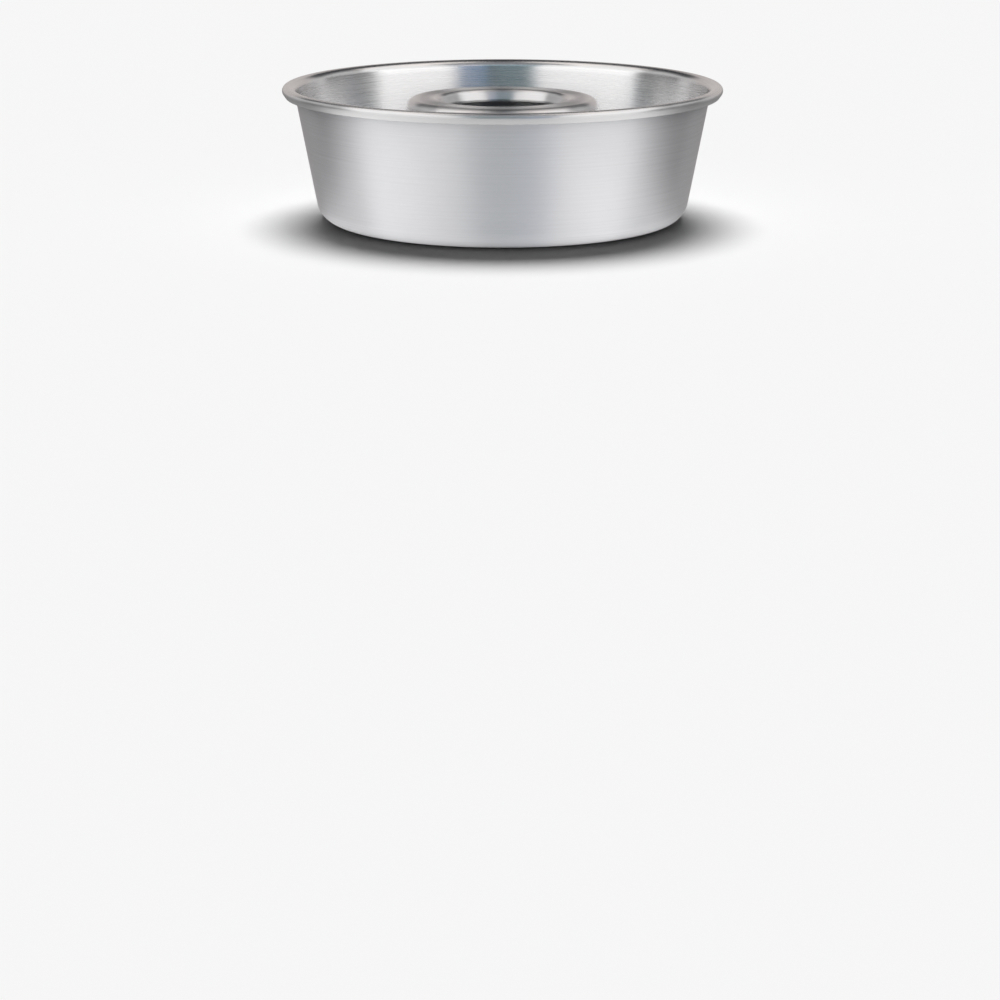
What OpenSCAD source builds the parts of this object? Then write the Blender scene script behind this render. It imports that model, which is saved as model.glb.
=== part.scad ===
// Ring cake pan drawn from one disc of aluminium sheet.
// Origin: centre of the base, on the surface that the pan stands on. +Z is up.
// The sheet is one profile turned about the Z axis. It starts at the cut edge of
// the rolled rim, goes over the rim, down the tapered wall, across the base,
// up the hollow hump in the middle, and ends in the collar of the centre hole.

/* [Pan] */
// Outside diameter over the rolled rim
pan_d = 240; // [200:1:280]
// Height from the table to the top of the rim
pan_h = 73.5; // [71:0.5:85]
// Thickness of the sheet
sheet = 1; // [0.8:0.1:1.4]
// Lean of the outer wall away from the vertical, in degrees
wall_taper = 10.7; // [6:0.1:14]
// Inside radius of the bend between the wall and the base
corner_r = 11.1; // [6:0.1:12]

/* [Rolled rim] */
// Width of the rim, from the inside of the wall to its outermost line
rim_w = 7.1; // [6.8:0.1:9]
// Height of the rim, from its top to its cut edge
rim_h = 5.6; // [5:0.1:7]
// Radius of the bend from the wall into the top of the rim
rim_in_r = 4.2; // [2.5:0.1:4.6]
// Radius of the bend from the top of the rim into its skirt
rim_out_r = 2.3; // [1.8:0.1:2.6]
// Lean of the rim's skirt back towards the wall, in degrees
rim_tuck = 35; // [10:1:50]

/* [Centre hump] */
// Width of the trough between the pan's wall and the hump's wall, at the table
trough_w = 33.1; // [26:0.1:40]
// How far the hump's flat top lies below the top of the rim
hump_drop = 7.1; // [6:0.1:20]
// Lean of the hump's wall towards the middle, in degrees
hump_taper = 12; // [8:0.5:13]
// Inside radius of the bend between the base and the hump
hump_foot_r = 5; // [3:0.1:7]
// Radius of the hump's shoulder
shoulder_r = 5; // [3:0.1:6]

/* [Centre hole] */
// Width of the hump's top, from its wall to the inside of the collar's lip
land_w = 18.1; // [12:0.1:24]
// Radius of the bend from the hump's flat top into the collar
hole_bend_r = 2.8; // [2:0.1:3.5]
// Lean of the collar towards the middle, in degrees
collar_taper = 20; // [10:1:25]
// Depth of the leaning part of the collar below the hump's flat top
collar_h = 5.3; // [4.4:0.1:8]
// Radius of the bend from the leaning part of the collar into its lip
lip_bend_r = 2; // [1.2:0.1:3]
// Height of the upright lip at the lower edge of the collar
lip_h = 1.4; // [1.4:0.1:3]

/* [Hidden] */
// Largest step along a bend, in degrees
bend_step = 5;
// Facets round the pan
$fn = 180;

// Inside of the wall, at the height of the rim's top
wall_top = pan_d / 2 - rim_w;
// Radius of the inside of the wall at height z, before its bends
function wall_at(z) = wall_top - (pan_h - z) * tan(wall_taper);
// Radius of the upper face of the hump's wall at height z, before its bends
function hump_at(z) = wall_at(0) - trough_w - z * tan(hump_taper);
// Height from the table to the hump's flat top
hump_h = pan_h - hump_drop;
// Radius of the hole, inside the lip of its collar
hole_in = hump_at(hump_h) - land_w;
// Radius at which the hump's top and the collar would meet without a bend
hole_top = hole_in + collar_h * tan(collar_taper);

// Angle between the rim's top and its skirt, on the inside of the bend
rim_angle = 90 - rim_tuck;
// Where the rim's top and its skirt would meet without a bend
rim_corner = pan_d / 2 - rim_out_r + rim_out_r / tan(rim_angle / 2);
// Radius of the rim's cut edge
rim_edge = rim_corner - rim_h * tan(rim_tuck);

// The upper face of the sheet as straight runs. Each row is a corner's radius and
// height and the radius of the bend there. The two ends have no bend.
FOLDS = [
    [rim_edge, pan_h - rim_h, 0],
    [rim_corner, pan_h, rim_out_r],
    [wall_top, pan_h, rim_in_r],
    [wall_at(sheet), sheet, corner_r],
    [hump_at(sheet), sheet, hump_foot_r],
    [hump_at(hump_h), hump_h, shoulder_r],
    [hole_top, hump_h, hole_bend_r],
    [hole_in, hump_h - collar_h, lip_bend_r],
    [hole_in, hump_h - collar_h - lip_h, 0]
];

// Radius and height of corner i
function at(i) = [FOLDS[i][0], FOLDS[i][1]];
// Direction from corner i towards corner j
function aim(i, j) = (at(j) - at(i)) / norm(at(j) - at(i));
// Left-hand side of a direction
function left(v) = [-v[1], v[0]];
// 1 where the profile turns left at corner i, -1 where it turns right
function side(i) = sign(cross(aim(i - 1, i), aim(i, i + 1)));
// Half of the angle between the two runs that meet at corner i
function half(i) = acos(aim(i, i - 1) * aim(i, i + 1)) / 2;
// Centre of the bend at corner i
function middle(i) = at(i)
    + (aim(i, i - 1) + aim(i, i + 1)) / (2 * cos(half(i))) * FOLDS[i][2] / sin(half(i));
// Angle at which the bend at corner i starts, seen from its centre
function start(i) = let (v = -side(i) * left(aim(i - 1, i))) atan2(v[1], v[0]);
// Points along the bend at corner i, on the face that lies depth below the upper face
function bend(i, depth) =
    let (
        sweep = 180 - 2 * half(i),
        steps = ceil(sweep / bend_step),
        r = FOLDS[i][2] - side(i) * depth
    )
    [for (k = [0 : steps]) let (a = start(i) + side(i) * sweep * k / steps)
        middle(i) + r * [cos(a), sin(a)]];

// One end of the sheet: corner i moved depth into the sheet, square to the run to corner j
function edge(i, j, depth) = at(i) + depth * (j > i ? 1 : -1) * left(aim(i, j));

// One face of the sheet, from the rim's cut edge to the lower edge of the lip
function face(depth) = let (last = len(FOLDS) - 1) [
    edge(0, 1, depth),
    for (i = [1 : last - 1]) each bend(i, depth),
    edge(last, last - 1, depth)
];

// The points of a list in the opposite order
function reversed(points) = [for (i = [len(points) - 1 : -1 : 0]) points[i]];

// The drawn sheet: rolled rim, wall, base, hump and collar in one piece
module pan()
    color("#b9b9b7")
    rotate_extrude()
        polygon(concat(face(0), reversed(face(sheet))));

pan();
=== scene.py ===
"""A ring cake pan drawn from one sheet of aluminium, set up for its studio picture.

The pan is one piece. Its section is drawn in edit mode as straight runs and bends, turned
round the Z axis, and given the thickness of the sheet. Two finishes dress it: the side that
faces the cake, with its polished bends, and the satin side that faces the table.
"""

import logging
import math
from dataclasses import dataclass, field, replace
from enum import Enum
from typing import Any, Sequence, Union

import bpy
import numpy as np
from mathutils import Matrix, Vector


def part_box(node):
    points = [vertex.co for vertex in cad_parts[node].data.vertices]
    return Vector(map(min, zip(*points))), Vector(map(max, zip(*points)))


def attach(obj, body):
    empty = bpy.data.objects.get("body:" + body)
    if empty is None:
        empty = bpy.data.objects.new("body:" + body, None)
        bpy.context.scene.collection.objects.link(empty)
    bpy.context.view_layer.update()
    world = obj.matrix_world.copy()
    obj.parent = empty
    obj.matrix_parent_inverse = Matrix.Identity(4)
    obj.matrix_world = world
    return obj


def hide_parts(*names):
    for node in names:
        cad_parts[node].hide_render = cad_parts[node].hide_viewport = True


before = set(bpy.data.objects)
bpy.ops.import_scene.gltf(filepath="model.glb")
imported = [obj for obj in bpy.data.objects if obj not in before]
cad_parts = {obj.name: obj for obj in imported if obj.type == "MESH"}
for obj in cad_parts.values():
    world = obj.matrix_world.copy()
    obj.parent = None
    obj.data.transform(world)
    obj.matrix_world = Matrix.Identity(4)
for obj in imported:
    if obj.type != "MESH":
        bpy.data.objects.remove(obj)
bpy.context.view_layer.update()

LOG = logging.getLogger("ring_cake_pan")
MM = 0.001
UM = 0.000001
# The range that holds nearly all values of a noise.
NOISE_SPAN = {"From Min": 0.3, "From Max": 0.7}
# Elevation for the lower edge of what stands on the table, so that its soft edge lies below it.
GROUND = -9.0

Value = Union[float, Sequence[float], bpy.types.NodeSocket]


def linear(hex_colour: str) -> tuple[float, float, float, float]:
    """Turn an sRGB hex colour into the linear values that a shader takes.

    Args:
        hex_colour: Six hex digits, with or without a leading mark.

    Returns:
        Linear red, green and blue, and an alpha of 1.
    """
    digits = hex_colour.lstrip("#")
    channels = [int(digits[i : i + 2], 16) / 255 for i in (0, 2, 4)]
    # The standard sRGB curve: a short straight foot, and then a power of 2.4.
    red, green, blue = (
        c / 12.92 if c <= 0.04045 else ((c + 0.055) / 1.055) ** 2.4 for c in channels
    )
    return red, green, blue, 1.0


def fade(values: np.ndarray, full: float, none: float) -> np.ndarray:
    """Fade smoothly from 1, where values are under full, to 0, where they are over none."""
    share = np.clip((none - values) / (none - full), 0, 1)
    return share * share * (3 - 2 * share)


def add(
    tree: bpy.types.NodeTree, kind: str, inputs: dict[Any, Value] | None = None, **settings: Any
) -> bpy.types.Node:
    """Add a node to a tree, with its settings, values and links.

    Args:
        tree: The node tree that gets the node.
        kind: The node's type name, without its ShaderNode prefix.
        inputs: For each input's name or number, a value or the socket that feeds it.
        **settings: Properties of the node, such as its operation.

    Returns:
        The new node.
    """
    node = tree.nodes.new("ShaderNode" + kind)
    for name, setting in settings.items():
        setattr(node, name, setting)
    for key, value in (inputs or {}).items():
        if isinstance(value, bpy.types.NodeSocket):
            tree.links.new(value, node.inputs[key])
        else:
            node.inputs[key].default_value = value
    return node


def empty_material(name: str) -> bpy.types.Material:
    """Make a material whose node tree holds nothing yet.

    Args:
        name: The material's name.

    Returns:
        The new material.
    """
    material = bpy.data.materials.new(name)
    material.use_nodes = True
    material.node_tree.nodes.clear()
    return material


class Side(Enum):
    """The two sides of the sheet. Each value is the side's material slot on the mesh."""

    CAKE = 0
    TABLE = 1


@dataclass(frozen=True)
class Marks:
    """One kind of fine mark in the metal, drawn as noise that is stretched round the pan.

    Attributes:
        pitch_mm: Distance from one mark to the next, across the marks.
        length_mm: Length of a mark, round the pan.
        depth_um: Depth of the marks, in thousandths of a millimetre.
        detail: How many finer layers of marks lie on the first one.
    """

    pitch_mm: float
    length_mm: float
    depth_um: float
    detail: float = 2.0


@dataclass(frozen=True)
class SheetFinish:
    """How one side of the drawn aluminium sheet looks.

    Attributes:
        name: The material's name.
        tint: Colour of the metal, as sRGB hex.
        roughness: Roughness of the plain surface.
        polished: Roughness where the die has polished a bend.
        anisotropy: How far the lines round the pan stretch each reflection across them.
        lines: The fine lines left by the sheet's rolling and the buffing wheel.
        waves: The broader waves left by the draw.
        grain_um: Depth of the orange peel where the sheet was stretched.
        crease: True where the base shows the broken crease that the die left, with a painted glint
            on its pieces.
    """

    name: str
    tint: str
    roughness: float
    polished: float
    anisotropy: float
    lines: Marks
    waves: Marks
    grain_um: float
    crease: bool

    # Brightness of the rim's skirt: painted shade for the shadowed table under the rim, which the
    # skirt mirrors.
    SKIRT_SHADE = 0.76
    # Radius at which the marks have their full length. Nearer the axis they are shorter.
    REACH_MM = 100.0
    # Size of one grain of the orange peel.
    GRAIN_MM = 1.1
    # Size of the broad patches in which the brightness drifts.
    PATCH_MM = 45.0
    # How far the fine lines and the broad patches change the brightness, up and down.
    LINE_TONE = 0.05
    PATCH_TONE = 0.02
    # How far the fine lines change the roughness, up and down.
    LINE_GLOSS = 0.03
    # Turn of the stretched reflections away from the lines: a quarter, so they lie across.
    ACROSS = 0.25
    # The crease: its radius, half its width, its height, the brightness of its painted glint and
    # its pieces' size.
    CREASE_R_MM = 90.0
    CREASE_W_MM = 0.4
    CREASE_UM = 60.0
    CREASE_GLINT = 1.3
    CREASE_PIECE_MM = 4.0
    # Values of the noise over which the crease rises out of its gaps.
    CREASE_SPAN = {"From Min": 0.4, "From Max": 0.5}

    def material(self) -> bpy.types.Material:
        """Build the finish as a node material.

        Returns:
            The new material.
        """
        material = empty_material(self.name)
        tree = material.node_tree
        place = add(tree, "TexCoord").outputs["Object"]
        split = add(tree, "SeparateXYZ", {0: place})
        flat = add(tree, "CombineXYZ", {0: split.outputs[0], 1: split.outputs[1]}).outputs[0]
        radius = add(tree, "VectorMath", {0: flat}, operation="LENGTH").outputs["Value"]
        outward = add(tree, "VectorMath", {0: flat}, operation="NORMALIZE").outputs[0]
        height = split.outputs[2]

        polish = add(tree, "Attribute", attribute_name="polish").outputs["Fac"]
        ripple = add(tree, "Attribute", attribute_name="ripple").outputs["Fac"]
        peel = add(tree, "Attribute", attribute_name="peel").outputs["Fac"]

        lines = self.ring_noise(tree, outward, radius, height, self.lines)
        waves = self.ring_noise(tree, outward, radius, height, self.waves)
        grains = {"Vector": place, "Scale": 1 / (self.GRAIN_MM * MM), "Detail": 1.0}
        grain = add(tree, "TexNoise", grains).outputs[0]

        relief = self.relief(tree, lines, waves, grain, polish, ripple, peel)
        shades = self.shades(tree, lines, place)
        if self.crease:
            ring = self.crease_ring(tree, radius, place)
            raised = {0: ring, 1: self.CREASE_UM * UM, 2: relief}
            relief = add(tree, "Math", raised, operation="MULTIPLY_ADD").outputs[0]
            # The crease's pieces are brightened in colour: a painted glint.
            glint = {"Value": ring, "To Min": 1.0, "To Max": self.CREASE_GLINT}
            shades.append(add(tree, "MapRange", glint))
        bump = add(tree, "Bump", {"Strength": 1.0, "Distance": 1.0, "Height": relief})

        around = add(tree, "VectorMath", {0: (0, 0, 1), 1: outward}, operation="CROSS_PRODUCT")
        shader = add(
            tree,
            "BsdfPrincipled",
            {
                "Base Color": self.colour(tree, shades),
                "Metallic": 1.0,
                "Roughness": self.gloss(tree, lines, polish),
                "Anisotropic": self.anisotropy,
                "Anisotropic Rotation": self.ACROSS,
                "Tangent": around.outputs[0],
                "Normal": bump.outputs[0],
            },
        )
        add(tree, "OutputMaterial", {"Surface": shader.outputs[0]})
        return material

    def ring_noise(
        self,
        tree: bpy.types.NodeTree,
        outward: bpy.types.NodeSocket,
        radius: bpy.types.NodeSocket,
        height: bpy.types.NodeSocket,
        marks: Marks,
    ) -> bpy.types.NodeSocket:
        """Draw noise that is long round the pan and short across it, with no seam.

        Args:
            tree: The material's node tree.
            outward: Direction from the axis, as a unit vector.
            radius: Distance from the axis, in metres.
            height: Height above the table, in metres.
            marks: Size of the marks.

        Returns:
            The noise, from 0 to 1.
        """
        per_metre = 1 / (marks.pitch_mm * MM)
        round_scale = self.REACH_MM / marks.length_mm
        turned = add(tree, "VectorMath", {0: outward, "Scale": round_scale}, operation="SCALE")
        up = add(tree, "Math", {0: height, 1: per_metre}, operation="MULTIPLY").outputs[0]
        across = add(tree, "Math", {0: radius, 1: per_metre}, operation="MULTIPLY").outputs[0]
        lift = add(tree, "CombineXYZ", {2: up}).outputs[0]
        spot = add(tree, "VectorMath", {0: turned.outputs[0], 1: lift}, operation="ADD")
        noise = add(
            tree,
            "TexNoise",
            {"Vector": spot.outputs[0], "W": across, "Scale": 1.0, "Detail": marks.detail},
            noise_dimensions="4D",
        )
        return noise.outputs[0]

    def relief(
        self,
        tree: bpy.types.NodeTree,
        lines: bpy.types.NodeSocket,
        waves: bpy.types.NodeSocket,
        grain: bpy.types.NodeSocket,
        polish: bpy.types.NodeSocket,
        ripple: bpy.types.NodeSocket,
        peel: bpy.types.NodeSocket,
    ) -> bpy.types.NodeSocket:
        """Add the marks up into one height, in metres.

        Args:
            tree: The material's node tree.
            lines: Noise of the fine lines.
            waves: Noise of the broad waves.
            grain: Noise of the orange peel.
            polish: Where the surface is polished, from 0 to 1.
            ripple: Where the waves lie, from 0 to 1.
            peel: Where the orange peel lies, from 0 to 1.

        Returns:
            The height of the surface.
        """
        dull = add(tree, "Math", {0: 1.0, 1: polish}, operation="SUBTRACT").outputs[0]
        parts = (
            (lines, dull, self.lines.depth_um),
            (waves, ripple, self.waves.depth_um),
            (grain, peel, self.grain_um),
        )
        total: bpy.types.NodeSocket | None = None
        for noise, where, depth_um in parts:
            deep = add(tree, "Math", {0: noise, 1: depth_um * UM}, operation="MULTIPLY")
            term = add(tree, "Math", {0: deep.outputs[0], 1: where}, operation="MULTIPLY")
            if total is None:
                total = term.outputs[0]
            else:
                both = {0: total, 1: term.outputs[0]}
                total = add(tree, "Math", both, operation="ADD").outputs[0]
        return total

    def crease_ring(
        self, tree: bpy.types.NodeTree, radius: bpy.types.NodeSocket, place: bpy.types.NodeSocket
    ) -> bpy.types.NodeSocket:
        """Draw the thin broken ridge that runs round the base, where its corner bend begins.

        Args:
            tree: The material's node tree.
            radius: Distance from the axis, in metres.
            place: Position on the pan.

        Returns:
            1 on the ridge, and 0 beside it and in its gaps.
        """
        off = {0: radius, 1: self.CREASE_R_MM * MM}
        away = add(tree, "Math", off, operation="SUBTRACT").outputs[0]
        near = add(tree, "Math", {0: away}, operation="ABSOLUTE").outputs[0]
        slope = {"Value": near, "From Max": self.CREASE_W_MM * MM, "To Min": 1.0, "To Max": 0.0}
        ridge = add(tree, "MapRange", slope, interpolation_type="SMOOTHSTEP").outputs[0]
        pieces = {"Vector": place, "Scale": 1 / (self.CREASE_PIECE_MM * MM), "Detail": 1.0}
        gaps = {**self.CREASE_SPAN, "Value": add(tree, "TexNoise", pieces).outputs[0]}
        shown = add(tree, "MapRange", gaps).outputs[0]
        return add(tree, "Math", {0: ridge, 1: shown}, operation="MULTIPLY").outputs[0]

    def shades(
        self, tree: bpy.types.NodeTree, lines: bpy.types.NodeSocket, place: bpy.types.NodeSocket
    ) -> list[bpy.types.Node]:
        """List what varies the metal's brightness: its lines, broad patches, and the painted shade
        on the rim's skirt.

        Args:
            tree: The material's node tree.
            lines: Noise of the fine lines.
            place: Position on the pan.

        Returns:
            Nodes whose outputs lie round 1.
        """
        broad = {"Vector": place, "Scale": 1 / (self.PATCH_MM * MM), "Detail": 2.0}
        patches = add(tree, "TexNoise", broad).outputs[0]
        skirt_shade = add(tree, "Attribute", attribute_name="skirt_shade").outputs["Fac"]
        shades = []
        for noise, tone in ((lines, self.LINE_TONE), (patches, self.PATCH_TONE)):
            change = {**NOISE_SPAN, "Value": noise, "To Min": 1 - tone, "To Max": 1 + tone}
            shades.append(add(tree, "MapRange", change))
        # The rim's skirt is darkened: painted shade for the shadowed table that it mirrors.
        shaded_skirt = {"Value": skirt_shade, "To Min": 1.0, "To Max": self.SKIRT_SHADE}
        shades.append(add(tree, "MapRange", shaded_skirt))
        return shades

    def colour(
        self, tree: bpy.types.NodeTree, shades: list[bpy.types.Node]
    ) -> bpy.types.NodeSocket:
        """Multiply the metal's tint by each shade.

        Args:
            tree: The material's node tree.
            shades: Nodes whose outputs lie round 1.

        Returns:
            The colour.
        """
        colour: Value = linear(self.tint)[:3]
        for shade in shades:
            scaled = {0: colour, "Scale": shade.outputs[0]}
            colour = add(tree, "VectorMath", scaled, operation="SCALE").outputs[0]
        return colour

    def gloss(
        self, tree: bpy.types.NodeTree, lines: bpy.types.NodeSocket, polish: bpy.types.NodeSocket
    ) -> bpy.types.NodeSocket:
        """Blend the plain roughness into the polished one, with a small change from line to line.

        Args:
            tree: The material's node tree.
            lines: Noise of the fine lines.
            polish: Where the surface is polished, from 0 to 1.

        Returns:
            The roughness.
        """
        ends = {"Value": polish, "To Min": self.roughness, "To Max": self.polished}
        blend = add(tree, "MapRange", ends).outputs[0]
        tilt = {"Value": lines, "To Min": -self.LINE_GLOSS, "To Max": self.LINE_GLOSS}
        change = add(tree, "MapRange", {**NOISE_SPAN, **tilt}).outputs[0]
        return add(tree, "Math", {0: blend, 1: change}, operation="ADD").outputs[0]


# Drawn aluminium on the side that faces the cake. The punch leaves it bright, with long
# shallow waves round the walls, so reflections are sharp round the pan and torn across it.
# The real marks are finer than half a millimetre. They are drawn coarser, so that they show.
DRAWN_BRIGHT = SheetFinish(
    name="drawn_aluminium_bright",
    tint="#e2e1e1",
    roughness=0.46,
    polished=0.15,
    anisotropy=0.92,
    lines=Marks(pitch_mm=0.6, length_mm=90, depth_um=8.0),
    waves=Marks(pitch_mm=0.8, length_mm=120, depth_um=32, detail=0.0),
    grain_um=14.0,
    crease=True,
)

# Drawn and buffed aluminium on the side that faces the table. The buffing wheel runs round
# the pan, so the wall is satin, with fine level lines and soft upright bands of light.
# The real lines are about 0.2 mm apart. They are drawn coarser, so that they show.
BUFFED_SATIN = SheetFinish(
    name="drawn_aluminium_satin",
    tint="#e8e8ea",
    roughness=0.58,
    polished=0.54,
    anisotropy=0.98,
    lines=Marks(pitch_mm=0.7, length_mm=60, depth_um=15.0),
    waves=Marks(pitch_mm=4.0, length_mm=90, depth_um=5.0, detail=1.0),
    grain_um=0.0,
    crease=False,
)


class Polish(Enum):
    """How far the die has polished a part of the sheet, from 0, plain, to 1, bright.

    WORKED is the level between the bends, and the others belong to bends and edges.
    """

    FAINT = 0.2
    HALF = 0.5
    WORKED = 0.6
    STRONG = 0.7
    BRIGHTEST = 0.8


@dataclass(frozen=True)
class Fold:
    """One corner of the sheet's upper face, as it would be without its bend.

    Attributes:
        radius_mm: Distance from the axis.
        height_mm: Height above the table.
        bend_mm: Radius of the bend there, or 0 at an end of the sheet.
        polish: How far the die has polished the bend.
    """

    radius_mm: float
    height_mm: float
    bend_mm: float
    polish: Polish

    def spot(self) -> Vector:
        """Return the corner as a point in the XZ plane, in metres."""
        return Vector((self.radius_mm, 0, self.height_mm)) * MM


@dataclass
class RingPan:
    """The ring cake pan: one sheet from the rolled rim to the collar of the centre hole.

    Lengths are in millimetres and angles in degrees. The outside radius and the height
    come from the frame, and the rest repeats the values of the part's source.

    Attributes:
        sheet: Thickness of the sheet.
        wall_taper: Lean of the outer wall away from the vertical.
        corner_r: Inside radius of the bend between the wall and the base.
        rim_w: Width of the rim, from the inside of the wall to its outermost line.
        rim_h: Height of the rim, from its top to its cut edge.
        rim_in_r: Radius of the bend from the wall into the top of the rim.
        rim_out_r: Radius of the bend from the top of the rim into its skirt.
        rim_tuck: Lean of the rim's skirt back towards the wall.
        trough_w: Width of the trough at the table, between the pan's wall and the hump's.
        hump_drop: How far the hump's flat top lies below the top of the rim.
        hump_taper: Lean of the hump's wall towards the middle.
        hump_foot_r: Inside radius of the bend between the base and the hump.
        shoulder_r: Radius of the hump's shoulder.
        land_w: Width of the hump's top, from its wall to the inside of the collar's lip.
        hole_bend_r: Radius of the bend from the hump's flat top into the collar.
        collar_taper: Lean of the collar towards the middle.
        collar_h: Depth of the leaning part of the collar below the hump's flat top.
        lip_bend_r: Radius of the bend from the leaning part of the collar into its lip.
        lip_h: Height of the upright lip at the lower edge of the collar.
        turns: Number of steps in the spin round the Z axis.
        bend_step: Largest step along a bend.
        run_step: Length of a step along a straight run.
        edge_r: Radius to which the two cut edges are rounded.
        rim_r: Outside radius over the rim.
        height: Height from the table to the top of the rim.
    """

    sheet: float = 1.0
    wall_taper: float = 10.7
    corner_r: float = 11.1
    rim_w: float = 7.1
    rim_h: float = 5.6
    rim_in_r: float = 4.2
    rim_out_r: float = 2.3
    rim_tuck: float = 35.0
    trough_w: float = 33.1
    hump_drop: float = 7.1
    hump_taper: float = 12.0
    hump_foot_r: float = 5.0
    shoulder_r: float = 5.0
    land_w: float = 18.1
    hole_bend_r: float = 2.8
    collar_taper: float = 20.0
    collar_h: float = 5.3
    lip_bend_r: float = 2.0
    lip_h: float = 1.4
    turns: int = 240
    bend_step: float = 6.0
    run_step: float = 3.0
    edge_r: float = 0.22
    rim_r: float = field(init=False)
    height: float = field(init=False)

    # Points that lie nearer than this belong together, in millimetres.
    MERGE = 0.01
    # A radius on the hump's flat top, in millimetres. The faces there have to point up.
    LAND_R = 42
    # Steps across a rounded cut edge, and the sharpest angle that stays as it is, in degrees.
    EDGE_STEPS = 3
    EDGE_ANGLE = 50
    # How far the polish of a bend reaches from its corner, as a share of the bend's radius,
    # and the millimetres over which it then fades.
    BEND_REACH = 0.8
    BEND_FADE = 2.5
    # How strong the waves are on the hump, compared with the outer wall.
    HUMP_RIPPLE = 0.5
    # Where each zone of the surface fades out: the distance in millimetres at which it is
    # still full, and the one at which it has ended. A negative one lies on the near side.
    TOP_DOWN = (2, 4)  # Down from the hump's flat top.
    TOP_OUT = (0, 3)  # Out from the corner of its shoulder.
    SKIRT_IN = (2.5, 3.5)  # In from the rim's outermost line.
    SKIRT_UP = (-2.2, -1.0)  # Up from the top of the rim.
    COLLAR_OUT = (2, 4)  # Out from the inside of the lip.
    COLLAR_DOWN = (8, 10)  # Down from the hump's flat top.
    WALL_IN = (0, 4)  # In from the foot of the outer wall.
    HUMP_OUT = (-2, 4)  # Out from the foot of the hump's wall.
    HUMP_UP = (-12, -5)  # Up from the hump's flat top.
    FOOT_DOWN = (-12, -6)  # Down from the table.
    PEEL_OUT = (12, 15)  # Out from the inside of the lip.
    PEEL_IN = (-6, -4)  # In from the inside of the lip.

    def __post_init__(self) -> None:
        """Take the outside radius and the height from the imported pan."""
        low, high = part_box("pan")
        self.rim_r = round(high[0] / MM, 2)
        self.height = round((high[2] - low[2]) / MM, 2)

    def wall_at(self, z: float) -> float:
        """Return the radius of the wall's inner face at height z, before its bends."""
        drop = self.height - z
        return self.rim_r - self.rim_w - drop * math.tan(math.radians(self.wall_taper))

    def hump_at(self, z: float) -> float:
        """Return the radius of the hump's upper face at height z, before its bends."""
        return self.wall_at(0) - self.trough_w - z * math.tan(math.radians(self.hump_taper))

    def folds(self) -> list[Fold]:
        """List the corners of the sheet's upper face.

        Returns:
            The corners, from the rim's cut edge to the lower edge of the collar's lip.
        """
        half_rim = math.radians(90 - self.rim_tuck) / 2
        rim_corner = self.rim_r - self.rim_out_r + self.rim_out_r / math.tan(half_rim)
        rim_edge = rim_corner - self.rim_h * math.tan(math.radians(self.rim_tuck))
        hump_h = self.height - self.hump_drop
        hole = self.hump_at(hump_h) - self.land_w
        hole_top = hole + self.collar_h * math.tan(math.radians(self.collar_taper))
        return [
            Fold(rim_edge, self.height - self.rim_h, 0, Polish.FAINT),
            Fold(rim_corner, self.height, self.rim_out_r, Polish.STRONG),
            Fold(self.rim_r - self.rim_w, self.height, self.rim_in_r, Polish.BRIGHTEST),
            Fold(self.wall_at(self.sheet), self.sheet, self.corner_r, Polish.FAINT),
            Fold(self.hump_at(self.sheet), self.sheet, self.hump_foot_r, Polish.FAINT),
            Fold(self.hump_at(hump_h), hump_h, self.shoulder_r, Polish.HALF),
            Fold(hole_top, hump_h, self.hole_bend_r, Polish.HALF),
            Fold(hole, hump_h - self.collar_h, self.lip_bend_r, Polish.HALF),
            Fold(hole, hump_h - self.collar_h - self.lip_h, 0, Polish.HALF),
        ]

    def build(self) -> bpy.types.Object:
        """Model the pan and hand it to the frame.

        Returns:
            The finished piece.
        """
        pan = self.draw_section()
        self.turn_section(pan)
        self.dress(pan)
        self.thicken(pan)
        self.mark_zones(pan)
        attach(pan, "root")
        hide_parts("pan")
        LOG.info("%s: %d faces", pan.name, len(pan.data.polygons))
        return pan

    def draw_section(self) -> bpy.types.Object:
        """Draw the sheet's upper face as a line in the XZ plane, by extrude and spin.

        Returns:
            The object that holds the line.
        """
        folds = self.folds()
        bpy.ops.object.select_all(action="DESELECT")
        bpy.ops.mesh.primitive_plane_add(size=self.sheet * MM)
        pan = bpy.context.active_object
        pan.name = pan.data.name = "ring_pan"
        bpy.ops.object.mode_set(mode="EDIT")
        bpy.ops.mesh.select_all(action="SELECT")
        bpy.ops.mesh.merge(type="CENTER")
        pen = folds[0].spot()
        bpy.ops.transform.translate(value=pen)
        for before, here, after in zip(folds, folds[1:], folds[2:]):
            pen = self.draw_bend(pen, before, here, after)
        self.draw_run(pen, folds[-1].spot())
        bpy.ops.object.mode_set(mode="OBJECT")
        return pan

    def draw_run(self, start: Vector, end: Vector) -> None:
        """Extrude the last point along a straight run, in even steps.

        Args:
            start: Where the last point is.
            end: Where the run ends.
        """
        steps = max(1, round((end - start).length / (self.run_step * MM)))
        for _ in range(steps):
            bpy.ops.mesh.extrude_region_move(
                TRANSFORM_OT_translate={"value": (end - start) / steps}
            )

    def draw_bend(self, pen: Vector, before: Fold, here: Fold, after: Fold) -> Vector:
        """Draw the run up to one corner, and spin the last point round its bend.

        Args:
            pen: Where the last point is.
            before: The corner before this one.
            here: The corner to draw.
            after: The corner after this one.

        Returns:
            Where the last point is now.
        """
        back = (before.spot() - here.spot()).normalized()
        ahead = (after.spot() - here.spot()).normalized()
        half = back.angle(ahead) / 2
        reach = here.bend_mm * MM / math.tan(half)
        start = here.spot() + back * reach
        self.draw_run(pen, start)
        centre = here.spot() + (back + ahead).normalized() * here.bend_mm * MM / math.sin(half)
        sweep = math.pi - 2 * half
        turn = math.copysign(sweep, back.cross(ahead).y)
        bpy.ops.mesh.spin(
            steps=math.ceil(math.degrees(sweep) / self.bend_step),
            angle=turn,
            center=centre,
            axis=(0, 1, 0),
        )
        return here.spot() + ahead * reach

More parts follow.
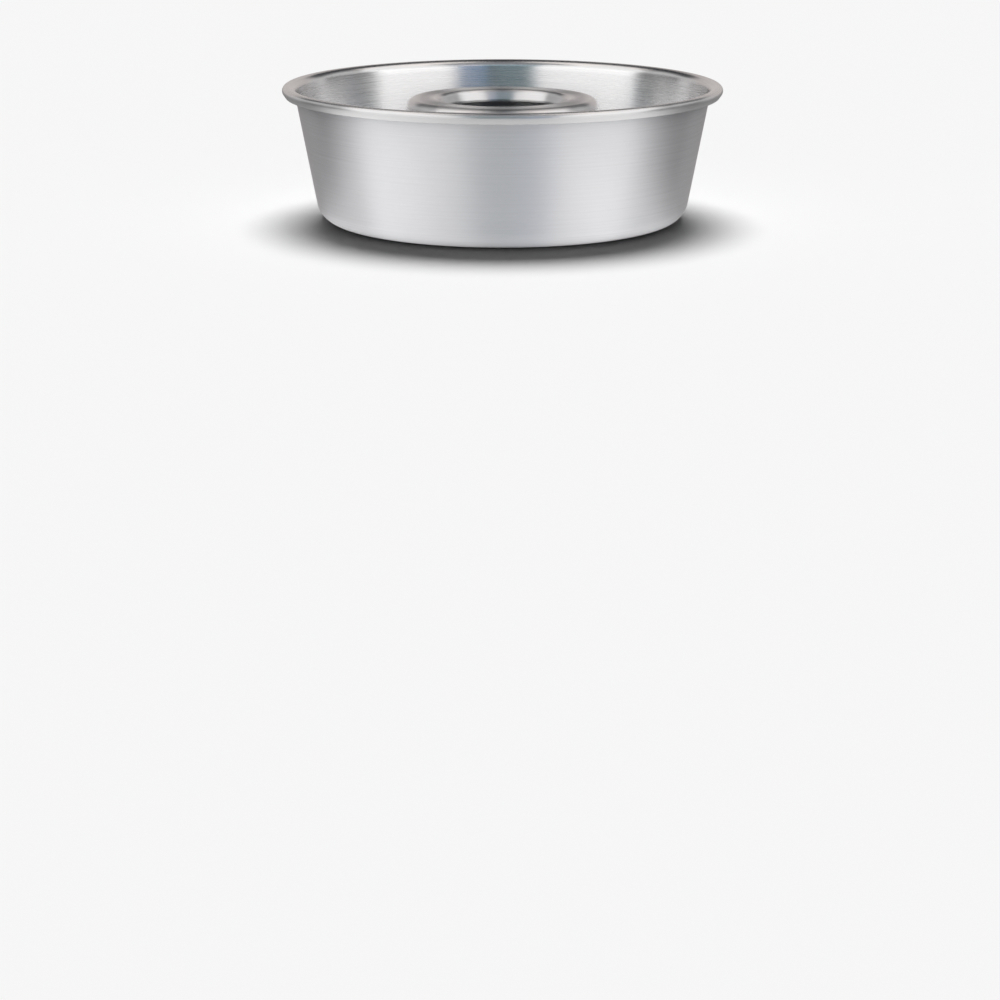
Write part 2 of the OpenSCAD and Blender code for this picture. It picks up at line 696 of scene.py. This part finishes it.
    def turn_section(self, pan: bpy.types.Object) -> None:
        """Spin the section round the Z axis, close its seam and point its faces up.

        Args:
            pan: The object that holds the section.
        """
        bpy.ops.object.mode_set(mode="EDIT")
        bpy.ops.mesh.select_all(action="SELECT")
        bpy.ops.mesh.spin(steps=self.turns, angle=math.tau, center=(0, 0, 0), axis=(0, 0, 1))
        bpy.ops.mesh.select_all(action="SELECT")
        bpy.ops.mesh.remove_doubles(threshold=self.MERGE * MM)
        bpy.ops.mesh.normals_make_consistent(inside=False)
        bpy.ops.object.mode_set(mode="OBJECT")
        land_r = self.LAND_R * MM
        land = min(pan.data.polygons, key=lambda face: abs(face.center.xy.length - land_r))
        if land.normal.z < 0:
            bpy.ops.object.mode_set(mode="EDIT")
            bpy.ops.mesh.flip_normals()
            bpy.ops.object.mode_set(mode="OBJECT")

    def dress(self, pan: bpy.types.Object) -> None:
        """Give each side of the sheet its material slot and its finish.

        Args:
            pan: The turned upper face of the sheet.
        """
        finishes = {Side.CAKE: DRAWN_BRIGHT, Side.TABLE: BUFFED_SATIN}
        for side in Side:
            pan.data.materials.append(finishes[side].material())

    def thicken(self, pan: bpy.types.Object) -> None:
        """Give the sheet its thickness and round its two cut edges.

        Args:
            pan: The upper face of the sheet, with a material slot for each side.
        """
        sheet = pan.modifiers.new("sheet", "SOLIDIFY")
        sheet.thickness = self.sheet * MM
        sheet.offset = -1
        sheet.use_even_offset = True
        sheet.material_offset = Side.TABLE.value
        sheet.material_offset_rim = Side.CAKE.value
        bpy.ops.object.modifier_apply(modifier=sheet.name)
        edges = pan.modifiers.new("cut_edges", "BEVEL")
        edges.width = self.edge_r * MM
        edges.segments = self.EDGE_STEPS
        edges.limit_method = "ANGLE"
        edges.angle_limit = math.radians(self.EDGE_ANGLE)
        bpy.ops.object.modifier_apply(modifier=edges.name)
        bpy.ops.object.shade_smooth()

    def mark_zones(self, pan: bpy.types.Object) -> None:
        """Write where the sheet is polished, rippled and peeled, and where the rim's skirt gets
        painted shade, as point attributes.

        Args:
            pan: The finished mesh.
        """
        mesh = pan.data
        places = np.empty(len(mesh.vertices) * 3)
        mesh.vertices.foreach_get("co", places)
        places = places.reshape(-1, 3) / MM
        zones = self.zones(np.hypot(places[:, 0], places[:, 1]), places[:, 2])
        for name, values in zones.items():
            mesh.attributes.new(name, "FLOAT", "POINT").data.foreach_set("value", values)

    def zones(self, radius: np.ndarray, height: np.ndarray) -> dict[str, np.ndarray]:
        """Work out how strong each treatment of the surface is at each point.

        Args:
            radius: Distance of each point from the axis, in millimetres.
            height: Height of each point above the table, in millimetres.

        Returns:
            For each treatment's name, its strength at each point, from 0 to 1.
        """
        hump_h = self.height - self.hump_drop
        hole = self.hump_at(hump_h) - self.land_w
        on_top = fade(hump_h - height, *self.TOP_DOWN)
        on_top = on_top * fade(radius - self.hump_at(hump_h), *self.TOP_OUT)
        on_skirt = fade(self.rim_r - radius, *self.SKIRT_IN)
        on_skirt = on_skirt * fade(height - self.height, *self.SKIRT_UP)
        in_collar = fade(radius - hole, *self.COLLAR_OUT)
        in_collar = in_collar * fade(hump_h - height, *self.COLLAR_DOWN)
        polish = Polish.WORKED.value * (1 - on_top) * (1 - on_skirt) * (1 - in_collar)
        for fold in self.folds():
            gap = np.hypot(radius - fold.radius_mm, height - fold.height_mm)
            reach = fold.bend_mm * self.BEND_REACH
            near = fade(gap, reach, reach + self.BEND_FADE)
            polish = np.maximum(polish, fold.polish.value * near)
        on_wall = fade(self.wall_at(0) - radius, *self.WALL_IN)
        on_hump = fade(radius - self.hump_at(0), *self.HUMP_OUT)
        on_hump = on_hump * fade(height - hump_h, *self.HUMP_UP)
        on_hump = on_hump * fade(-height, *self.FOOT_DOWN)
        ripple = np.maximum(on_wall, self.HUMP_RIPPLE * on_hump)
        peel = on_top * fade(radius - hole, *self.PEEL_OUT) * fade(hole - radius, *self.PEEL_IN)
        # skirt_shade marks the rim's skirt, where painted shade darkens the metal.
        return {"polish": polish, "ripple": ripple, "peel": peel, "skirt_shade": on_skirt}


@dataclass(frozen=True)
class Patch:
    """One softbox, grey card or dark flag on the inside of the light tent.

    Its place is given in degrees. Azimuth runs from straight in front, positive to the
    right, and elevation runs up from the table.

    Attributes:
        left: Azimuth of its left-hand end.
        right: Azimuth of its right-hand end.
        low: Elevation of its lower edge.
        high: Elevation of its upper edge.
        soft: Degrees over which its left-hand end, its right-hand end and its edges fade.
        tint: Its colour, as sRGB hex.
        glow: How bright it is, times its colour.
        lean: How far its ends shift to the right for each degree of elevation.
    """

    left: float
    right: float
    low: float
    high: float
    soft: tuple[float, float, float]
    tint: str = "#ffffff"
    glow: float = 1.0
    lean: float = 0.0

    def pair(self) -> tuple["Patch", "Patch"]:
        """Mirror the patch to the other side of the pan.

        Returns:
            The patch and its mirror image.
        """
        soft_left, soft_right, soft_edge = self.soft
        mirrored = replace(
            self,
            left=-self.right,
            right=-self.left,
            soft=(soft_right, soft_left, soft_edge),
            lean=-self.lean,
        )
        return self, mirrored

    def paint(self, glows: np.ndarray, azimuth: np.ndarray, elevation: np.ndarray) -> np.ndarray:
        """Lay the patch over what the tent shows so far.

        Args:
            glows: The tent's colours, one row for each point.
            azimuth: Azimuth of each point, in degrees.
            elevation: Elevation of each point, in degrees.

        Returns:
            The tent's colours with the patch on them.
        """
        soft_left, soft_right, soft_edge = self.soft
        middle = (self.left + self.right) / 2
        away = (azimuth - self.lean * elevation - middle + 180) % 360 - 180
        half = (self.right - self.left) / 2
        cover = fade(-away - half, 0, soft_left) * fade(away - half, 0, soft_right)
        cover = cover * fade(self.low - elevation, 0, soft_edge)
        cover = cover * fade(elevation - self.high, 0, soft_edge)
        own = self.glow * np.array(linear(self.tint)[:3])
        return glows * (1 - cover[:, None]) + own * cover[:, None]


@dataclass
class LightTent:
    """A dome of softboxes, cards and flags over the set, which shows in the metal only.

    Attributes:
        radius: Radius of the dome, in metres.
        steps_up: Number of steps from the table to the top.
        steps_round: Number of steps round the dome.
        cloth_tint: Colour of the dome where it has no patch, as sRGB hex.
    """

    radius: float = 3.0
    steps_up: int = 60
    steps_round: int = 180
    cloth_tint: str = "#606163"

    PATCHES = (
        # Grey cloth overhead, which the base and the hump's flat top mirror.
        Patch(left=-180, right=180, low=66, high=90, soft=(4, 4, 14), tint="#8c8d90"),
        # High boxes at both sides, for the ends of the rim and the trough seen from above.
        *Patch(
            left=-126, right=-66, low=50, high=80, soft=(14, 14, 10), tint="#fff9f5", glow=1.2
        ).pair(),
        # A dark flag behind the pan, which keeps its bends from glaring.
        Patch(left=156, right=204, low=24, high=90, soft=(18, 18, 8), tint="#3c3d40"),
        # A pale card low behind the pan, and a warmer one at its middle.
        Patch(left=105, right=255, low=GROUND, high=18, soft=(12, 12, 10), tint="#c9c8c8"),
        Patch(
            left=150, right=210, low=GROUND, high=18, soft=(10, 10, 10), tint="#c7c1bf", glow=0.98
        ),
        # Cards at both sides for the ends of the collar, and black ones below them, which
        # leave the ends of the inner wall dark.
        *Patch(left=-128, right=-76, low=17, high=38, soft=(14, 8, 4), glow=0.62).pair(),
        *Patch(left=-118, right=-76, low=GROUND, high=10, soft=(10, 6, 4), tint="#202122").pair(),
        # A cool card above the camera with a teal one on it, for the middle of the collar.
        Patch(left=-34, right=40, low=24, high=40, soft=(10, 10, 8), tint="#f4f6ff", glow=0.9),
        Patch(left=-20, right=9, low=26, high=36, soft=(8, 8, 6), tint="#a9c8d3", glow=0.8),
        # A grey card above those, for the bends of the rim.
        Patch(left=-34, right=40, low=48, high=62, soft=(10, 10, 6), tint="#848689"),
        # A teal card by the camera, with a blue strip and a narrow grey one on it. They show
        # in the middle of the inner wall.
        Patch(left=-17, right=26, low=GROUND, high=20, soft=(4, 4, 5), tint="#789fa5", glow=0.36),
        Patch(left=9, right=26, low=GROUND, high=17, soft=(3, 3, 5), tint="#3592d6", glow=0.58),
        Patch(left=4, right=8, low=GROUND, high=20, soft=(2, 2, 5), tint="#56656c", glow=0.3),
        # The softbox to the left of the camera: its body, its outer side and its bright foot.
        Patch(left=-60, right=-15, low=GROUND, high=47, soft=(10, 5, 8), glow=1.1, lean=-0.4),
        Patch(left=-75, right=-46, low=GROUND, high=54, soft=(5, 10, 12), glow=1.1, lean=-0.7),
        Patch(left=-75, right=-15, low=GROUND, high=16, soft=(5, 5, 6), glow=1.7, lean=-0.6),
        # The softbox to its right, in the same three parts.
        Patch(left=23, right=60, low=GROUND, high=47, soft=(4, 10, 8), glow=1.1, lean=0.4),
        Patch(left=46, right=68, low=GROUND, high=54, soft=(10, 5, 12), glow=1.1, lean=0.9),
        Patch(left=23, right=68, low=GROUND, high=16, soft=(4, 5, 6), glow=1.7, lean=0.7),
    )

    def build(self) -> bpy.types.Object:
        """Raise the dome and paint its inside.

        Returns:
            The dome.
        """
        bpy.ops.object.select_all(action="DESELECT")
        bpy.ops.mesh.primitive_plane_add(size=1)
        tent = bpy.context.active_object
        tent.name = tent.data.name = "light_tent"
        bpy.ops.object.mode_set(mode="EDIT")
        bpy.ops.mesh.select_all(action="SELECT")
        bpy.ops.mesh.merge(type="CENTER")
        bpy.ops.transform.translate(value=(self.radius, 0, 0))
        bpy.ops.mesh.spin(
            steps=self.steps_up, angle=math.pi / 2, center=(0, 0, 0), axis=(0, 1, 0)
        )
        bpy.ops.mesh.select_all(action="SELECT")
        bpy.ops.mesh.spin(
            steps=self.steps_round, angle=math.tau, center=(0, 0, 0), axis=(0, 0, 1)
        )
        bpy.ops.mesh.select_all(action="SELECT")
        bpy.ops.mesh.remove_doubles(threshold=MM)
        bpy.ops.object.mode_set(mode="OBJECT")
        self.paint(tent.data)
        tent.data.materials.append(self.material())
        tent.visible_camera = False
        tent.visible_diffuse = False
        tent.visible_shadow = False
        LOG.info("%s: %d faces", tent.name, len(tent.data.polygons))
        return tent

    def paint(self, mesh: bpy.types.Mesh) -> None:
        """Write the colour of each point of the dome.

        Args:
            mesh: The dome's mesh.
        """
        places = np.empty(len(mesh.vertices) * 3)
        mesh.vertices.foreach_get("co", places)
        x, y, z = places.reshape(-1, 3).T / self.radius
        azimuth = np.degrees(np.arctan2(x, -y))
        elevation = np.degrees(np.arcsin(np.clip(z, 0, 1)))
        glows = np.tile(linear(self.cloth_tint)[:3], (len(x), 1))
        for patch in self.PATCHES:
            glows = patch.paint(glows, azimuth, elevation)
        glows = np.column_stack((glows, np.ones(len(x))))
        mesh.attributes.new("glow", "FLOAT_COLOR", "POINT").data.foreach_set(
            "color", glows.ravel()
        )

    @staticmethod
    def material() -> bpy.types.Material:
        """Build the dome's painted glow, which gives the metal its soft bands of light.

        Returns:
            The new material.
        """
        material = empty_material("light_tent_cloth")
        tree = material.node_tree
        glow = add(tree, "Attribute", attribute_name="glow").outputs["Color"]
        cloth = add(tree, "Emission", {"Color": glow, "Strength": seen_in_metal(tree)})
        add(tree, "OutputMaterial", {"Surface": cloth.outputs[0]})
        material.cycles.emission_sampling = "NONE"
        return material


def seen_in_metal(tree: bpy.types.NodeTree) -> bpy.types.NodeSocket:
    """Tell where the metal itself shows something, and not the light that it throws.

    Args:
        tree: The node tree that asks.

    Returns:
        1 for a reflection that no matt surface has scattered, and otherwise 0.
    """
    path = add(tree, "LightPath").outputs
    clear = add(tree, "Math", {0: path["Diffuse Depth"], 1: 0.5}, operation="LESS_THAN")
    both = {0: path["Is Glossy Ray"], 1: clear.outputs[0]}
    return add(tree, "Math", both, operation="MULTIPLY").outputs[0]


def direction(azimuth: float, elevation: float) -> Vector:
    """Point away from the pan.

    Args:
        azimuth: Degrees round the pan, from straight in front, positive to the right.
        elevation: Degrees above the table.

    Returns:
        A unit vector.
    """
    turn, rise = math.radians(azimuth), math.radians(elevation)
    flat = math.cos(rise)
    return Vector((math.sin(turn) * flat, -math.cos(turn) * flat, math.sin(rise)))


@dataclass
class Studio:
    """The pale table, the lights, the tent and the camera.

    The metal shows the table as a pool of light round the pan, dark under the hump. The
    table itself is lit evenly, and keeps the pan's soft shadow.

    Attributes:
        table_size: Side of the square table top, in metres.
        table_tint: Colour of the table, as sRGB hex.
        pool_front: How bright the metal shows the table in front of the pan.
        pool_sides: The same at both sides, by the softboxes.
        pool_back: The same behind the pan.
        pool_far: Share of that brightness which is left far away.
        pool_dark: Share of it which is left under the pan.
        pool_radii_mm: Radii at which the pool begins, is full, starts to fall and has fallen.
        pool_turns: Degrees from straight in front at which its rise towards the sides starts
            and ends, and its fall towards the back starts and ends.
        pool_shift: Degrees by which those lie further to the left.
        sky_tint: Colour of the backdrop, as sRGB hex.
        sky_fill: Strength of the even light in the room.
        sun_power: Strength of the overhead lamp.
        sun_spread: How wide the lamp looks, in degrees, which softens the shadow.
        sun_azimuth: Azimuth that its light comes from. 180 is straight behind the pan.
        sun_elevation: Elevation that its light comes from.
        camera_distance: Distance from the camera to the pan's middle, in metres.
        camera_elevation: Degrees by which the camera stands above the pan's middle.
        camera_aim: Height of the pan's middle, as a share of the pan's height.
        camera_drop: Degrees by which the camera points below the pan's middle.
        camera_turn: Degrees by which the camera is turned to the left.
        lens_mm: Focal length of the lens.
        sensor_mm: Width of the sensor.
    """

    table_size: float = 12.0
    table_tint: str = "#f6f6f6"
    pool_front: float = 1.3
    pool_sides: float = 1.7
    pool_back: float = 0.5
    pool_far: float = 0.6
    pool_dark: float = 0.04
    pool_radii_mm: tuple[float, float, float, float] = (88.0, 113.0, 150.0, 420.0)
    pool_turns: tuple[float, float, float, float] = (10.0, 48.0, 60.0, 97.0)
    pool_shift: float = 4.5
    sky_tint: str = "#f6f6f6"
    sky_fill: float = 0.07
    sun_power: float = 3.14
    sun_spread: float = 36.0
    sun_azimuth: float = 180.0
    sun_elevation: float = 70.0
    camera_distance: float = 1.592
    camera_elevation: float = 8.47
    camera_aim: float = 0.49
    camera_drop: float = 6.87
    camera_turn: float = 0.05
    lens_mm: float = 103.7
    sensor_mm: float = 36.0

    def build(self) -> None:
        """Set the scene up round the pan."""
        self.lay_table()
        LightTent().build()
        self.light_world()
        self.hang_sun()
        self.place_camera()
        bpy.context.scene.view_settings.view_transform = "Standard"

    def lay_table(self) -> None:
        """Lay the plain pale table top."""
        bpy.ops.object.select_all(action="DESELECT")
        bpy.ops.mesh.primitive_plane_add(size=self.table_size)
        table = bpy.context.active_object
        table.name = table.data.name = "table"
        table.data.materials.append(self.table_material())

    def table_material(self) -> bpy.types.Material:
        """Build the table's matt board, plain and pale, with the pool of light for the metal.

        Returns:
            The new material.
        """
        material = empty_material("pale_table_board")
        tree = material.node_tree
        tint = linear(self.table_tint)
        board = add(tree, "BsdfDiffuse", {"Color": tint}).outputs[0]
        place = add(tree, "TexCoord").outputs["Object"]
        radius = add(tree, "VectorMath", {0: place}, operation="LENGTH").outputs["Value"]
        dark_r, near_r, wide_r, far_r = (r * MM for r in self.pool_radii_mm)
        rise = {"From Min": dark_r, "From Max": near_r, "To Min": self.pool_dark, "To Max": 1.0}
        fall = {"From Min": wide_r, "From Max": far_r, "To Min": 1.0, "To Max": self.pool_far}
        pool = self.side_light(tree, place)
        for ends in (rise, fall):
            ring = {"Value": radius, **ends}
            share = add(tree, "MapRange", ring, interpolation_type="SMOOTHSTEP").outputs[0]
            pool = add(tree, "Math", {0: pool, 1: share}, operation="MULTIPLY").outputs[0]
        shown = add(tree, "Emission", {"Color": tint, "Strength": pool}).outputs[0]
        both = add(tree, "MixShader", {0: seen_in_metal(tree), 1: board, 2: shown}).outputs[0]
        add(tree, "OutputMaterial", {"Surface": both})
        material.cycles.emission_sampling = "NONE"
        return material

    def side_light(
        self, tree: bpy.types.NodeTree, place: bpy.types.NodeSocket
    ) -> bpy.types.NodeSocket:
        """Set how bright the pool of light is round the pan, brightest by the softboxes.

        Args:
            tree: The table's node tree.
            place: Position on the table.

        Returns:
            pool_front in front, pool_sides on both sides, and pool_back behind.
        """
        split = add(tree, "SeparateXYZ", {0: place})
        front = add(tree, "Math", {0: split.outputs[1], 1: -1.0}, operation="MULTIPLY").outputs[0]
        turn = add(tree, "Math", {0: split.outputs[0], 1: front}, operation="ARCTAN2").outputs[0]
        shift = {0: turn, 1: math.radians(self.pool_shift)}
        turn = add(tree, "Math", shift, operation="ADD").outputs[0]
        away = add(tree, "Math", {0: turn}, operation="ABSOLUTE").outputs[0]
        start, full, fall, end = (math.radians(degrees) for degrees in self.pool_turns)
        rise = {
            "Value": away,
            "From Min": start,
            "From Max": full,
            "To Min": self.pool_front,
            "To Max": self.pool_sides,
        }
        drop = {
            "Value": away,
            "From Min": fall,
            "From Max": end,
            "To Min": 0.0,
            "To Max": self.pool_back - self.pool_sides,
        }
        risen = add(tree, "MapRange", rise, interpolation_type="SMOOTHSTEP").outputs[0]
        dropped = add(tree, "MapRange", drop, interpolation_type="SMOOTHSTEP").outputs[0]
        return add(tree, "Math", {0: risen, 1: dropped}, operation="ADD").outputs[0]

    def light_world(self) -> None:
        """Fill the room with even light. The camera sees it as a pale backdrop."""
        world = bpy.data.worlds.new("pale_room")
        bpy.context.scene.world = world
        world.use_nodes = True
        tree = world.node_tree
        tree.nodes.clear()
        path = add(tree, "LightPath").outputs
        seen = path["Is Camera Ray"]
        for ray in ("Is Glossy Ray", "Is Transmission Ray"):
            seen = add(tree, "Math", {0: seen, 1: path[ray]}, operation="MAXIMUM").outputs[0]
        levels = {"Value": seen, "To Min": self.sky_fill, "To Max": 1.0}
        strength = add(tree, "MapRange", levels).outputs[0]
        sky = {"Color": linear(self.sky_tint), "Strength": strength}
        add(tree, "OutputWorld", {"Surface": add(tree, "Background", sky).outputs[0]})

    def hang_sun(self) -> None:
        """Light the table evenly from above and behind, with a soft edge to the shadow."""
        data = bpy.data.lights.new("overhead", "SUN")
        data.energy = self.sun_power
        data.angle = math.radians(self.sun_spread)
        lamp = bpy.data.objects.new("overhead", data)
        bpy.context.scene.collection.objects.link(lamp)
        down = -direction(self.sun_azimuth, self.sun_elevation)
        lamp.rotation_euler = down.to_track_quat("-Z", "Y").to_euler()
        lamp.visible_glossy = False

    def place_camera(self) -> None:
        """Put the camera where the photograph's was, seen from the pan's middle."""
        data = bpy.data.cameras.new("camera")
        data.sensor_width = self.sensor_mm
        data.lens = self.lens_mm
        data.clip_end = self.table_size * 2
        camera = bpy.data.objects.new("camera", data)
        bpy.context.scene.collection.objects.link(camera)
        low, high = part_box("pan")
        middle = Vector((0, 0, (high[2] - low[2]) * self.camera_aim))
        camera.location = middle + direction(0, self.camera_elevation) * self.camera_distance
        pitch = self.camera_elevation + self.camera_drop
        camera.rotation_euler = (math.radians(90 - pitch), 0, math.radians(self.camera_turn))
        bpy.context.scene.camera = camera
        LOG.info("camera %.2f m away, %.1f degrees up", self.camera_distance, self.camera_elevation)


def main() -> None:
    """Build the pan and the studio round it."""
    logging.basicConfig(level=logging.INFO, format="%(name)s: %(message)s")
    RingPan().build()
    Studio().build()


if __name__ == "__main__":
    main()
